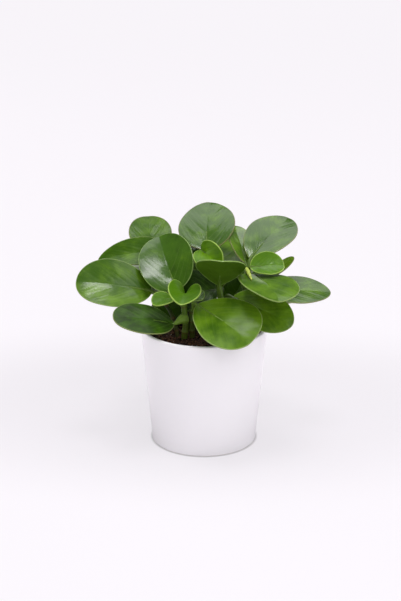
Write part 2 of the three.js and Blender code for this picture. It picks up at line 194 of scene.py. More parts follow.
for name, power, width, height, place, aimed_at, mirrored in LAMPS:
    lamp = bpy.data.lights.new(name, "AREA")
    lamp.shape = "RECTANGLE"
    lamp.size = width
    lamp.size_y = height
    lamp.energy = power
    lamp.color = STUDIO_TINT
    holder = bpy.data.objects.new(name, lamp)
    holder.location = place
    holder.visible_glossy = mirrored
    aim = np.array((0, 0, aimed_at)) - np.array(place)
    holder.rotation_euler = (
        float(np.arctan2(np.hypot(aim[0], aim[1]), -aim[2])),
        0,
        float(np.arctan2(-aim[0], aim[1])),
    )
    bpy.context.scene.collection.objects.link(holder)


# ---- pot ----------------------------------------------------------------------
# A slip-cast pot, 130 mm across its rim and 124 mm high, white glazed inside and
# out. Its walls taper a little, the lip is rounded, and a thin ring under it is
# left bare where it stood in the kiln.
MM = 0.001
POT_HEIGHT = 124
RIM_RADIUS = 65
BASE_RADIUS = 54.2
WALL = 4
POT_FLOOR = 6
FOOT_ROUND = 1.4
LIP_ROUND = 1.6
INNER_ROUND = 6
POT_SEGMENTS = 160
TAPER = (RIM_RADIUS - BASE_RADIUS) / POT_HEIGHT
# the heights in metres between which the bare ring gives way to the glaze
BARE_RING = (0.0002, 0.0012)


def put(mesh, material, node_name):
    """Adds a mesh to the scene as a piece of the part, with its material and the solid
    that it replaces. Every piece rides on the one body."""
    mesh.materials.append(material)
    piece = bpy.data.objects.new(mesh.name, mesh)
    bpy.context.scene.collection.objects.link(piece)
    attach(piece, "root")
    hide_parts(node_name)


def ring_faces(rows, columns):
    """The faces on rings of points that are numbered ring by ring: four-sided ones
    from each ring to the next, and two fans that close the first and last ring to
    the two points that are numbered after them."""
    here = np.arange(columns)
    beside = np.roll(here, -1)
    low = (np.arange(rows - 1) * columns)[:, None]
    high = low + columns
    quads = np.stack([low + here, low + beside, high + beside, high + here], 2)
    start = rows * columns
    last = start - columns
    fans = np.vstack([
        np.stack([np.full(columns, start), beside, here], 1),
        np.stack([np.full(columns, start + 1), last + here, last + beside], 1),
    ])
    return quads.reshape(-1, 4), fans


def skin(name, rings, start, end, material, node_name, slot, **values):
    """A closed surface, from rings of points in millimetres and the two points start
    and end that close it. Its faces are turned over if the volume that they hold
    comes out negative, so that they look outwards. values are numbers to keep on its
    points, as a grid for the rings and one number for each of the two ends."""
    rows, columns = rings.shape[:2]
    points = np.vstack([rings.reshape(-1, 3), start, end]) * MM
    quads, fans = ring_faces(rows, columns)
    a, b, c, d = (points[quads[:, k]] for k in range(4))
    middle = points.mean(0)
    volume = np.einsum("ij,ij->i", a - middle, np.cross(c - a, d - b)).sum()
    if volume < 0:
        quads, fans = quads[:, ::-1], fans[:, ::-1]
    mesh = bpy.data.meshes.new(name)
    mesh.from_pydata(points.tolist(), [], quads.tolist() + fans.tolist())
    mesh.shade_smooth()
    for key, (grid, at_start, at_end) in values.items():
        on_rings = np.broadcast_to(grid, (rows, columns)).reshape(-1)
        kept = np.concatenate([on_rings, [at_start, at_end]]).astype(np.float32)
        mesh.attributes.new(key, "FLOAT", "POINT").data.foreach_set("value", kept)
    put(mesh, material, node_name)


def arc(centre, radius, start, stop, steps):
    """Points on a circle about centre, from one angle to another in degrees."""
    angle = np.radians(np.linspace(start, stop, steps))
    return np.stack([centre[0] + radius * np.cos(angle), centre[1] + radius * np.sin(angle)], 1)


def straight(start, stop, steps):
    """Points spaced evenly between two points, without the two ends."""
    share = np.linspace(0, 1, steps + 2)[1:-1, None]
    return np.array(start) * (1 - share) + np.array(stop) * share


def turned(profile, segments):
    """A profile of (radius, height) points carried round the Z axis: each ring is
    (r cos angle, r sin angle, z)."""
    angle = np.linspace(0, 2 * pi, segments, endpoint=False)
    radius, height = profile[:, 0, None], profile[:, 1, None]
    return np.stack([radius * np.cos(angle), radius * np.sin(angle), height + 0 * angle], 2)


def paint(red, green, blue):
    """A colour as a picture shows it, 0 to 255, made linear by the screen curve:
    (c + 0.055) / 1.055 to the power 2.4, or c / 12.92 where c is under 0.04."""
    shares = np.array([red, green, blue]) / 255
    linear = np.where(shares < 0.04, shares / 12.92, ((shares + 0.055) / 1.055) ** 2.4)
    return (*linear.tolist(), 1.0)


def noise(tree, place, scale, detail=2.0, roughness=0.5):
    """A cloud pattern from 0 to 1 over place, as a node's output."""
    inputs = {"Vector": place, "Scale": scale, "Detail": detail, "Roughness": roughness}
    return node(tree, "TexNoise", inputs).outputs["Fac"]


def math(tree, operation, one, other=0.0):
    """One step of arithmetic on two values, as a node's output."""
    made = node(tree, "Math", {0: one, 1: other}, operation=operation)
    return made.outputs["Value"]


glaze, tree, shader = finish_material(
    "white_glaze", Roughness=0.3, Coat_Weight=0.35, Coat_Roughness=0.12, IOR=1.5
)
place = spot(tree)
height = node(tree, "SeparateXYZ", {0: place}).outputs["Z"]
bare = math(tree, "SUBTRACT", 1.0, step_up(tree, height, *BARE_RING))
clay = mix(tree, bare, paint(240, 240, 240), paint(206, 198, 186))
tree.links.new(clay, shader.inputs["Base Color"])


def wall_radius(height, inside=False):
    """The outer wall's radius at a height, or the inner wall's."""
    return BASE_RADIUS + TAPER * height - (WALL if inside else 0)


profile = np.vstack([
    straight((0, 0), (BASE_RADIUS - FOOT_ROUND, 0), steps=8),
    arc((BASE_RADIUS - FOOT_ROUND, FOOT_ROUND), FOOT_ROUND, -90, 0, steps=7),
    straight((BASE_RADIUS, FOOT_ROUND), (RIM_RADIUS, POT_HEIGHT - LIP_ROUND), steps=24),
    arc((RIM_RADIUS - LIP_ROUND, POT_HEIGHT - LIP_ROUND), LIP_ROUND, 0, 90, steps=8),
    arc((RIM_RADIUS - WALL + LIP_ROUND, POT_HEIGHT - LIP_ROUND), LIP_ROUND, 90, 180, steps=8),
    straight(
        (wall_radius(POT_HEIGHT, True), POT_HEIGHT - LIP_ROUND),
        (wall_radius(POT_FLOOR + INNER_ROUND, True), POT_FLOOR + INNER_ROUND),
        steps=24,
    ),
    arc(
        (wall_radius(POT_FLOOR, True) - INNER_ROUND, POT_FLOOR + INNER_ROUND),
        INNER_ROUND, 0, -90, steps=7,
    ),
    straight((wall_radius(POT_FLOOR, True) - INNER_ROUND, POT_FLOOR), (0, POT_FLOOR), steps=8),
])
rings = turned(profile, POT_SEGMENTS)
skin("glazed_pot", rings, (0, 0, 0), (0, 0, POT_FLOOR), glaze, "pot", "glaze")


# ---- soil ---------------------------------------------------------------------
# Dark potting soil of peat and bark, 9 mm under the lip. It is a bumpy body that
# fills the pot, with loose crumbs and a few pale grains of perlite lying on it.
SOIL_LEVEL = 115
SOIL_BOTTOM = 2 * POT_FLOOR
SOIL_SHOULDER = 3
SOIL_GAP = 0.6
SOIL_BUMP = 1.1
SOIL_FINE_BUMP = 0.28
SOIL_RINGS = 90
SOIL_SEGMENTS = 180
CRUMBS = 900
PERLITE = 26
# a lump's rings lie at these angles above its middle. It is squeezed and made uneven
# by shares of its size, and tilted by up to so many radians.
LUMP_SIDES = 6
LUMP_RISES = (-55, -10, 30, 62)
LUMP_SQUEEZE = (0.6, 1.0)
LUMP_UNEVEN = (0.82, 1.15)
LUMP_TILT = 0.6
draw = np.random.default_rng(7)


def soil_height(x, y):
    """Low bumps: the same slow waves as the solid's top, and finer ones on them
    that are sums of sines in several directions."""
    slow = np.sin(0.21 * x + 0.6) * np.cos(0.17 * y) + 0.5 * np.sin(0.33 * y - 0.2 * x)
    fine = (
        np.sin(1.1 * x + 0.7 * y)
        + np.sin(0.9 * y - 1.3 * x + 1.0)
        + 0.7 * np.sin(2.3 * x + 0.4) * np.sin(2.1 * y)
        + 0.5 * np.sin(3.9 * x - 2.9 * y)
    )
    return SOIL_LEVEL + SOIL_BUMP * slow + SOIL_FINE_BUMP * fine


soil_mix, tree, shader = finish_material("potting_soil", Roughness=0.95)
place = spot(tree)
crumb = noise(tree, place, scale=420.0, detail=4.0, roughness=0.65)
damp = noise(tree, place, scale=60.0)
brown = mix(tree, step_up(tree, crumb, 0.42, 0.62), paint(24, 17, 13), paint(112, 78, 56))
damped = mix(tree, step_up(tree, damp, 0.5, 0.66), brown, paint(42, 30, 23))
tree.links.new(damped, shader.inputs["Base Color"])
grit = node(tree, "Bump", {"Height": crumb, "Strength": 0.8, "Distance": 0.0008})
tree.links.new(grit.outputs["Normal"], shader.inputs["Normal"])

soil_radius = wall_radius(SOIL_LEVEL, True) - SOIL_GAP
bottom_edge = (wall_radius(SOIL_BOTTOM, True) - SOIL_GAP, SOIL_BOTTOM)
inner = np.linspace(1, 0, SOIL_RINGS, endpoint=False)
profile = np.vstack([
    straight((0, SOIL_BOTTOM), bottom_edge, steps=3),
    straight(bottom_edge, (soil_radius, SOIL_LEVEL - SOIL_SHOULDER), steps=6),
    np.stack([soil_radius * inner, np.full(SOIL_RINGS, SOIL_LEVEL)], 1),
])
rings = turned(profile, SOIL_SEGMENTS)
top = rings[-SOIL_RINGS:]
top[..., 2] = soil_height(top[..., 0], top[..., 1])
top_middle = (0, 0, soil_height(0, 0))
skin("soil_bed", rings, (0, 0, SOIL_BOTTOM), top_middle, soil_mix, "soil", "soil")


def lumps(name, count, smallest, largest, spread, material):
    """Small rough lumps that lie on the soil, as one mesh. Each is a ball of a few
    rings, squeezed, with its points pushed in and out, tilted by t, turned by a and
    sunk a third: y, z become y cos t - z sin t, y sin t + z cos t, and then x, y
    become x cos a - y sin a, x sin a + y cos a."""
    angle = np.linspace(0, 2 * pi, LUMP_SIDES, endpoint=False)
    rise = np.radians(LUMP_RISES)
    ball = np.stack([
        np.cos(rise)[:, None] * np.cos(angle),
        np.cos(rise)[:, None] * np.sin(angle),
        np.sin(rise)[:, None] + 0 * angle,
    ], 2).reshape(-1, 3)
    ball = np.vstack([ball, (0, 0, -1), (0, 0, 1)])
    size = draw.uniform(smallest, largest, (count, 1, 1))
    size = size * draw.uniform(*LUMP_SQUEEZE, (count, 1, 3))
    shapes = ball * size * draw.uniform(*LUMP_UNEVEN, (count, len(ball), 1))
    yaw = draw.uniform(0, 2 * pi, (count, 1))
    tilt = draw.uniform(-LUMP_TILT, LUMP_TILT, (count, 1))
    x, y, z = shapes[..., 0], shapes[..., 1], shapes[..., 2]
    y, z = y * np.cos(tilt) - z * np.sin(tilt), y * np.sin(tilt) + z * np.cos(tilt)
    x, y = x * np.cos(yaw) - y * np.sin(yaw), x * np.sin(yaw) + y * np.cos(yaw)
    away = spread * np.sqrt(draw.uniform(0, 1, (count, 1)))
    around = draw.uniform(0, 2 * pi, (count, 1))
    home_x, home_y = away * np.cos(around), away * np.sin(around)
    z = z + soil_height(home_x, home_y) + size[:, :, 2] / 3
    points = np.stack([x + home_x, y + home_y, z], 2).reshape(-1, 3) * MM
    quads, fans = ring_faces(len(rise), LUMP_SIDES)
    shift = (np.arange(count) * len(ball))[:, None, None]
    faces = (quads + shift).reshape(-1, 4).tolist() + (fans + shift).reshape(-1, 3).tolist()
    mesh = bpy.data.meshes.new(name)
    mesh.from_pydata(points.tolist(), [], faces)
    mesh.shade_smooth()
    put(mesh, material, "soil")


lumps("soil_crumbs", CRUMBS, 0.5, 1.7, soil_radius - 2, soil_mix)

perlite, tree, shader = finish_material("perlite", Roughness=0.9)
place = spot(tree)
dust = step_up(tree, noise(tree, place, scale=900.0, detail=3.0), 0.45, 0.6)
dusty = mix(tree, dust, paint(196, 188, 176), paint(128, 112, 96))
tree.links.new(dusty, shader.inputs["Base Color"])
lumps("perlite_grains", PERLITE, 0.5, 1.0, soil_radius - 3, perlite)


# ---- stems --------------------------------------------------------------------
# Eight thick fleshy stems. They are brownish and ringed with old leaf scars near
# the soil and green above, swell where a leaf leaves them, and narrow to the tip.
# The green of those deep among the leaves is darkened with painted shade.
# The right one ends in a flower bud, a spike that bends towards the front.
STEM_DEPTH = 16
STEM_SIDES = 24
STEM_STEPS = 120
KNOT_SWELL = 0.16
KNOT_LENGTH = 1.8
SCAR_LENGTH = 0.7
SCAR_DROP = 1
# over its last hundredth a stem narrows like a ball of which the tip is cut off
TIP_CENTRE = 1.02
TIP_OVER = 0.03
# the heights in metres between which bark gives way to green, and how far they wander
BARK_ENDS = (0.118, 0.15)
BARK_WANDER = 0.03
SPAN_POINTS = 40
STEMS = {
    # points from the soil upwards, the radius at the soil and at the tip, the heights
    # of the knots, where leaves leave it or have fallen, and tone, how lit its green
    # is painted, low for painted shade
    "stem_front_left": (
        [(-20, -15, 115), (-18.5, -15, 131), (-20, -14.5, 145), (-21, -12, 158)],
        3.5, 2.9, (122, 136, 149, 157), 0.8,
    ),
    "stem_front": (
        [(-12, -16, 115), (-12, -17, 132), (-12, -18, 149)], 3.1, 2.6, (124, 135, 145), 0.3,
    ),
    "stem_left": (
        [(-27, -11, 115), (-29, -6, 124), (-34, 2, 136), (-42, 8, 147), (-49, 9, 154)],
        2.2, 1.9, (121, 132, 143, 152), 0.0,
    ),
    "stem_centre": (
        [(15, 0, 115), (17, -1, 140), (16, 0, 160), (10, 4, 178), (1, 9, 193)],
        3.5, 2.6, (124, 135, 146, 152, 170, 191), 0.6,
    ),
    "stem_right": (
        [(31, -5, 115), (39, -5, 140), (44, -3, 165), (45, -1, 185)],
        3.4, 2.6, (124, 138, 155, 173, 181), 0.5,
    ),
    "stem_back_left": (
        [(-16, 14, 115), (-20, 20, 140), (-27, 32, 164), (-32, 44, 182)],
        3.4, 2.6, (123, 134, 148, 160, 172, 180), 0.3,
    ),
    "stem_back": (
        [(6, 20, 115), (7, 26, 140), (5, 30, 162), (3, 31, 186)],
        3.4, 2.6, (126, 132, 145, 158, 172, 184), 0.3,
    ),
    "stem_back_right": (
        [(30, 16, 115), (38, 20, 138), (46, 26, 154), (54, 28, 166)],
        3.4, 2.6, (127, 138, 147, 164), 0.3,
    ),
}
BUD_POINTS = [(45, -1, 183), (42.5, -8, 187), (43.5, -20, 189), (47, -40, 186)]
BUD_STEPS = 60
BUD_SIDES = 20
BUD_RADIUS = 2.1
# the bud's radius at its ends and how much it gains in the middle, as shares, and the
# beads on it: how high they are, how many lie round it, their twist and their rows
BUD_END = 0.35
BUD_GAIN = 0.6
BEAD_SWELL = 0.16
BEADS_ROUND = 4
BEAD_TWIST = 30
BEAD_ROWS = 62


def route(points, count):
    """A smooth curve through the points, at count places evenly spaced along it:
    each span is a centripetal Catmull-Rom curve, whose knots are apart by the
    square root of the distance between points."""
    p = np.array(points, float)
    p = np.vstack([2 * p[0] - p[1], p, 2 * p[-1] - p[-2]])
    spans = []
    for i in range(len(p) - 3):
        q = p[i : i + 4]
        k = np.concatenate([[0], np.cumsum(np.sqrt(np.linalg.norm(np.diff(q, axis=0), axis=1)))])
        t = np.linspace(k[1], k[2], SPAN_POINTS, endpoint=i == len(p) - 4)[:, None]
        a = [((k[j + 1] - t) * q[j] + (t - k[j]) * q[j + 1]) / (k[j + 1] - k[j]) for j in range(3)]
        b = [((k[j + 2] - t) * a[j] + (t - k[j]) * a[j + 1]) / (k[j + 2] - k[j]) for j in range(2)]
        spans.append(((k[2] - t) * b[0] + (t - k[1]) * b[1]) / (k[2] - k[1]))
    line = np.vstack(spans)
    length = np.concatenate([[0], np.cumsum(np.linalg.norm(np.diff(line, axis=0), axis=1))])
    even = np.linspace(0, length[-1], count)
    return np.stack([np.interp(even, length, line[:, k]) for k in range(3)], 1)


def rod(line, radius, sides):
    """A rod along a line: the ring at each point is radius (cos angle side + sin
    angle across), where side and across are square to the line there, and side is
    also square to the way in which the line as a whole bends least. radius has a
    row for each point, with one column or one for each side."""
    ahead = np.gradient(line, axis=0)
    ahead /= np.linalg.norm(ahead, axis=1, keepdims=True)
    flat = np.linalg.svd(line - line.mean(0))[2][2]
    side = np.cross(flat, ahead)
    side /= np.linalg.norm(side, axis=1, keepdims=True)
    across = np.cross(ahead, side)
    angle = np.linspace(0, 2 * pi, sides, endpoint=False)
    spoke = side[:, None] * np.cos(angle)[:, None] + across[:, None] * np.sin(angle)[:, None]
    return line[:, None] + spoke * radius[..., None]


def bell(values, centre, width):
    """A bump of height 1 at centre that fades within width on both sides."""
    return np.exp(-(((values - centre) / width) ** 2))


stem_skin, tree, shader = finish_material(
    "stem_skin", Roughness=0.45, Coat_Weight=0.03, Specular_IOR_Level=0.2
)
place = spot(tree)
height = node(tree, "SeparateXYZ", {0: place}).outputs["Z"]
cloud = noise(tree, place, scale=180.0, detail=3.0)
wander = math(tree, "MULTIPLY", math(tree, "SUBTRACT", cloud, 0.5), BARK_WANDER)
above_bark = step_up(tree, math(tree, "ADD", height, wander), *BARK_ENDS)
woody = math(tree, "SUBTRACT", 1.0, above_bark)
# painted shade: tone mixes a shaded green into stems that the leaves shade
tone = node(tree, "Attribute", attribute_name="tone").outputs["Fac"]
light_green = mix(tree, cloud, paint(74, 108, 20), paint(104, 138, 40))
shaded_green = mix(tree, cloud, paint(26, 44, 6), paint(40, 62, 14))
green = mix(tree, tone, shaded_green, light_green)
bark = mix(tree, cloud, paint(52, 50, 20), paint(86, 82, 38))
skin_colour = mix(tree, math(tree, "MULTIPLY", woody, 0.5), green, bark)
knot = node(tree, "Attribute", attribute_name="knot").outputs["Fac"]
scars = mix(tree, math(tree, "MULTIPLY", knot, 0.55), skin_colour, paint(92, 58, 36))
tree.links.new(scars, shader.inputs["Base Color"])
fine = noise(tree, place, scale=900.0, detail=3.0)
pores = node(tree, "Bump", {"Height": fine, "Strength": 0.3, "Distance": 0.0003})
tree.links.new(pores.outputs["Normal"], shader.inputs["Normal"])

stem_lines = {}
for name, (points, foot_radius, tip_radius, knots, tone) in STEMS.items():
    foot = (points[0][0], points[0][1], points[0][2] - STEM_DEPTH)
    line = route([foot, *points], STEM_STEPS)
    stem_lines[name] = line
    share = np.linspace(0, 1, STEM_STEPS)
    plain = foot_radius + (tip_radius - foot_radius) * share
    swell = sum(bell(line[:, 2], knot, KNOT_LENGTH) for knot in knots)
    scar = sum(bell(line[:, 2], knot - SCAR_DROP, SCAR_LENGTH) for knot in knots)
    radius = plain * (1 + KNOT_SWELL * np.clip(swell, 0, 1))
    radius = radius * np.sqrt(np.minimum((TIP_CENTRE - share) / TIP_OVER, 1))
    skin(
        name + "_fleshy", rod(line, radius[:, None], STEM_SIDES), line[0], line[-1],
        stem_skin, name, "stem", knot=(np.clip(scar, 0, 1)[:, None], 0, 0), tone=(tone,) * 3,
    )

bud_skin, tree, shader = finish_material("bud_skin", Roughness=0.5)
place = spot(tree)
beads = noise(tree, place, scale=700.0, detail=1.0)
bud_green = mix(tree, beads, paint(134, 158, 40), paint(190, 204, 96))
tree.links.new(bud_green, shader.inputs["Base Color"])
line = route(BUD_POINTS, BUD_STEPS)
share = np.linspace(0, 1, BUD_STEPS)[:, None]
around = np.linspace(0, 2 * pi, BUD_SIDES, endpoint=False)
twisted = BEADS_ROUND * around + BEAD_TWIST * share
beaded = 1 + BEAD_SWELL * np.sin(twisted) * np.sin(BEAD_ROWS * share)
spike = BUD_RADIUS * (BUD_END + BUD_GAIN * np.sin(pi * share)) * beaded
rings = rod(line, spike, BUD_SIDES)
skin("flower_bud", rings, line[0], line[-1], bud_skin, "stem_right", "stem")


# ---- leaves -------------------------------------------------------------------
# Each leaf is a round, fleshy, slightly folded blade on its own stalk, which runs on
# under it as a rib. Its face has fine side veins and a pale line along the margin.
PLAIN_LEAF = dict(
    # what a leaf has of everything that its own row doesn't state
    roll=0, bend=14, fold=8, curl=0.1, base_round=0.58, tip_round=0.5, young=False,
    light=0.5, rib=0.35, veins=1, edge=1, dry=0.2, gloss=0.5, tone=0.5,
)
LEAVES = [
    # The stem that it leaves and at what height, where its stalk meets the blade, the
    # blade's compass heading, pitch and roll in degrees, and its length and width.
    # bend is how far the midrib droops, fold how far each half is raised at the base,
    # tip_fold at the tip, and curl how much further the margins rise. base_round and
    # tip_round shape the outline, and stalk is the radius of a flared stalk.
    # The rest is the look. light is painted light and shade: how pale the blade is
    # painted, partly its own paleness and partly how it is lit, from -1 for painted deep
    # shade to 1, in one number or in two for its left and right halves. rib is the share
    # of the length at which the pale midrib has faded, veins how much the side veins and
    # streaks stand out, edge how much the margin shows and dry how brown it is, gloss how
    # strong the sheen, and tone how lit the stalk is painted, low for painted shade.
    dict(name="leaf_front_rim", stem="stem_front", leave=145, base=(-7.5, -30, 156.7),
         heading=315, pitch=-13, roll=19, length=75, width=69, bend=12, fold=15, base_round=0.78,
         tip_round=0.44, light=(0.6, 0.5), rib=0.8, gloss=0.1, edge=1.3),
    dict(name="leaf_left_wide", stem="stem_left", leave=152, base=(-53, 9, 157.4),
         heading=189, pitch=13.4, roll=-44, length=79, width=56, fold=12, base_round=0.62,
         light=(0.5, 0.25), rib=0.4, gloss=0.4, veins=0.6),
    dict(name="leaf_centre_left", stem="stem_front_left", leave=149, base=(-28.3, -7, 163),
         heading=113, pitch=43, roll=-28, length=70, width=59, fold=16, base_round=0.45,
         light=(0.0, -0.05), rib=0.2, dry=0, gloss=0.6, veins=0.35),
    dict(name="leaf_top", stem="stem_back", leave=184, base=(2.1, 22.9, 197.3),
         heading=88, pitch=35, roll=-8, length=70, width=60, fold=6, base_round=0.5,
         tip_round=0.65, light=0.1, rib=0.18, dry=0.9, veins=1.6),
    dict(name="leaf_top_right", stem="stem_right", leave=182, base=(46.6, 6, 193.1),
         heading=50, pitch=29, roll=12, length=73, width=52, base_round=0.74, tip_round=0.63,
         light=0.2, dry=0.7, gloss=0.55),
    dict(name="leaf_right_inner", stem="stem_right", leave=172, base=(42.9, 12, 186.4),
         heading=103, pitch=31, roll=11, length=57, width=28, bend=10, fold=20, light=(0.5, 0.6),
         dry=0.8, gloss=0.9),
    dict(name="leaf_right_front", stem="stem_right", leave=174, base=(52.4, -9.5, 180.9),
         heading=290.5, pitch=0, roll=-7, length=63.5, width=62, fold=10, base_round=0.51,
         tip_round=0.47, light=0.45, gloss=0.3),
    dict(name="leaf_right_far", stem="stem_back_right", leave=148, base=(60, 25, 149.9),
         heading=0, pitch=6, roll=19, length=72, width=46, fold=6, base_round=0.55,
         tip_round=0.59, light=0.28, dry=0.7),
    dict(name="leaf_right_low", stem="stem_centre", leave=150, base=(28.4, -14, 158.5),
         heading=328, pitch=-10.5, roll=47, length=70, width=42, fold=6, base_round=0.64,
         tip_round=0.54, light=(0.65, 0.6), dry=0.4, gloss=1.2, tone=0.1),
    dict(name="leaf_right_sliver", stem="stem_back_right", leave=164, base=(65.9, 18, 168.7),
         heading=9, pitch=40, roll=48, length=34, width=10.5, bend=10, fold=10, light=(1.3, 1.3),
         dry=0.8, gloss=0.9),
    dict(name="leaf_centre_fan", stem="stem_centre", leave=152, base=(15.2, -14, 172.1),
         heading=273.5, pitch=51.5, roll=-5, length=54, width=50.5, fold=10, base_round=0.78,
         light=0.45, dry=0),
    dict(name="leaf_centre_low", stem="stem_centre", leave=146, base=(14, 12, 158),
         heading=190, pitch=-4, roll=-50, length=42, width=48, bend=10, fold=10, light=-0.6,
         dry=0, gloss=0, rib=0.02, edge=0.4, tone=0),
    dict(name="leaf_left_low", stem="stem_front_left", leave=136, base=(-30.2, -24, 133.8),
         heading=197, pitch=18.5, roll=-20, length=64.5, width=49, fold=1, stalk=5.8,
         base_round=0.59, light=-0.4, rib=0.05, dry=0.5, gloss=0, tone=1),
    dict(name="leaf_left_upper", stem="stem_back_left", leave=180, base=(-33, 50, 187),
         heading=188, pitch=0, roll=-40, length=78, width=36, fold=22, tip_round=0.75, light=0.2,
         dry=0.3, gloss=0.15),
    dict(name="leaf_left_back", stem="stem_back_left", leave=172, base=(-53.4, 60, 178.8),
         heading=100, pitch=45, roll=-2, length=50, width=46, bend=10, light=0.35, dry=0.9,
         gloss=0.05),
    dict(name="leaf_young_right", stem="stem_right", leave=178, base=(46.2, -9, 189.6),
         heading=6.5, pitch=-2, roll=34, length=35, width=32, bend=-6, fold=15, curl=20,
         base_round=0.52, young=True, light=0.3, dry=0, gloss=0.25),
    dict(name="leaf_young_left", stem="stem_front_left", leave=157, base=(-19, -16, 162),
         heading=265, pitch=12, roll=-10, length=39, width=44, fold=72, tip_fold=22,
         base_round=0.5, young=True, light=0.1, dry=0, gloss=0),
    dict(name="leaf_young_centre", stem="stem_centre", leave=191, base=(-3.6, 4, 203.8),
         heading=303, pitch=-9.5, roll=51, length=35.5, width=36, bend=10, fold=56, tip_fold=28,
         base_round=0.5, young=True, dry=0, gloss=0),
    dict(name="leaf_young_small", stem="stem_front_left", leave=150, base=(-31.5, -16, 159),
         heading=215, pitch=0, roll=-20, length=24, width=22, fold=25, young=True, light=0.2,
         dry=0, gloss=0),
    dict(name="leaf_young_side", stem="stem_front_left", leave=150, base=(-16, -12, 160),
         heading=328, pitch=4, roll=20, length=18, width=20, bend=10, fold=20, young=True,
         light=-0.6, dry=0, edge=0.4),
    dict(name="leaf_back_mid", stem="stem_back", leave=158, base=(12, 34, 168),
         heading=82, pitch=20, length=72, width=58, dry=0.6, gloss=0.1),
    dict(name="leaf_back_left", stem="stem_back_left", leave=148, base=(-28, 36, 158),
         heading=128, pitch=10, length=68, width=56),
    dict(name="leaf_back_right", stem="stem_back_right", leave=146, base=(42, 34, 158),
         heading=62, pitch=16, length=58, width=48),
    dict(name="leaf_back_left_low", stem="stem_back_left", leave=134, base=(-34, 25, 147),
         heading=148, pitch=14, length=66, width=54),
    dict(name="leaf_back_right_low", stem="stem_back_right", leave=128, base=(44, 26, 140),
         heading=25, pitch=0, length=54, width=46),
    dict(name="leaf_back_low", stem="stem_back", leave=132, base=(4, 38, 142),
         heading=90, pitch=35, length=66, width=50),
    dict(name="leaf_back_inner", stem="stem_back", leave=172, base=(-3, 34, 180),
         heading=125, pitch=28, length=32, width=34, light=0),
    dict(name="leaf_inner_right", stem="stem_back_right", leave=126, base=(27, 30, 136),
         heading=62, pitch=30, roll=-12, length=55, width=54, light=0.05, dry=0.5, gloss=0,
         base_round=0.45),
    dict(name="leaf_inner_left", stem="stem_back", leave=126, base=(-7, 28, 132),
         heading=180, pitch=0, roll=-70, length=48, width=30, bend=6, fold=6, light=0.15,
         dry=0.5, gloss=0),
]
BLADE_THICKNESS = 1.2
BLADE_SIDES = 192
BLADE_MIDDLE = 0.52
UPPER_RINGS = 40
MARGIN_RINGS = 7
LOWER_RINGS = 18
# the share of the way to the outline at which the margin begins to turn under
MARGIN_REACH = 0.985
# the crease between the halves in millimetres, the share of a half that it takes near
# the base and further out, and the shares of the length over which it opens
SOLID_CREASE = 1.3
BASE_CREASE = 3.2
TIP_CREASE = 15
NARROW_CREASE = 0.3
WIDE_CREASE = 0.5
OPEN_FROM = 0.06
OPEN_OVER = 0.5
DOME = 0.034
DOME_FADE = 0.7
RIB_SHARE = 0.35
RIB_POINTS = (0.04, 0.5, 1)
RIB_RADIUS = 0.8
RIB_SINK = 0.65
RIB_GROOVE = 0.32
GROOVE_WIDTH = 1.1
STALK_RADIUS = 1.9
YOUNG_STALK_SHARE = 0.75
STALK_ARCH = 0.06
STALK_LEAD = 0.28
SHORT_STALK = 16
THIN_FROM = 0.4
FLARE_SHARE = 0.5
STALK_SIDES = 20
STALK_STEPS = 60
FIRST_VEIN = 0.05
VEIN_APART = 0.13
VEIN_SWEEP = 0.62
VEIN_SLOPE = 0.55
VEIN_ARC = 0.45
VEIN_WIDTH = 0.013
VEIN_GROOVE = 0.11
VEINS_END = (0.28, 0.5)
RIB_CLEAR = 8
# how high the streaks are, and for each set its count along the midrib, its count
# across the blade and its share of the height
STREAKS = 0.1
STREAK_SETS = [(3.7, 0.6, 1), (8.3, -1.1, 0.3)]
# how far the margin of a blade of this width goes up and down, and for each wave its
# count along it and its share of the height
WAVE = 0.55
WAVE_WIDTH = 60
MARGIN_WAVES = [(1.1, 1), (2.3, 0.5)]
# in millimetres, the pale line along the margin and how the halves' painted light
# and shade merge
RIM_WIDTH = 0.9
RIM_SOFT = 0.6
HALVES_MERGE = 3
# how much patches, streaks, veins, midrib, pores and margin change a blade's colour
PATCHES = 1.7
GRAIN_PATCHES = 0.6
VEIN_SHOWS = 0.1
RIB_SHOWS = 0.75
PORES_SHOW = 0.08
MARGIN_SHOWS = 0.7
# how many streaks the grain has along the midrib and across the blade
GRAIN_STRETCH = (15.0, 2.5)
# a smooth blade's roughness, and what its streaks and its underside add to it
BLADE_ROUGHNESS = 0.28
GRAIN_ROUGHNESS = 0.14
UNDER_ROUGHNESS = 0.2
GRAIN_HEIGHT = 2.5
PORE_HEIGHT = 0.5
# Shade is painted shade: the colour that a blade darkens to where its light is below 0
GROWN_COLOURS = {
    "Face": (96, 134, 22), "Deep": (54, 90, 8), "Shade": (20, 42, 2), "Vein": (140, 166, 90),
    "Margin": (142, 172, 92), "Dry Margin": (132, 118, 84), "Under": (62, 92, 12),
}
YOUNG_COLOURS = {
    "Face": (98, 142, 8), "Deep": (70, 112, 6), "Shade": (40, 70, 2), "Vein": (150, 184, 60),
    "Margin": (168, 198, 96), "Dry Margin": (142, 132, 88), "Under": (88, 128, 16),
}


def blade_axes(leaf):
    """The blade's own directions, from its heading a, pitch p and roll r: forward
    (cos p cos a, cos p sin a, sin p), and left and up, turned about it by r."""
    a, p, r = (radians(leaf[key]) for key in ("heading", "pitch", "roll"))
    forward = np.array([cos(p) * cos(a), cos(p) * sin(a), sin(p)])
    level = np.array([-sin(a), cos(a), 0])
    raised = np.cross(forward, level)
    return forward, level * cos(r) + raised * sin(r), raised * cos(r) - level * sin(r)


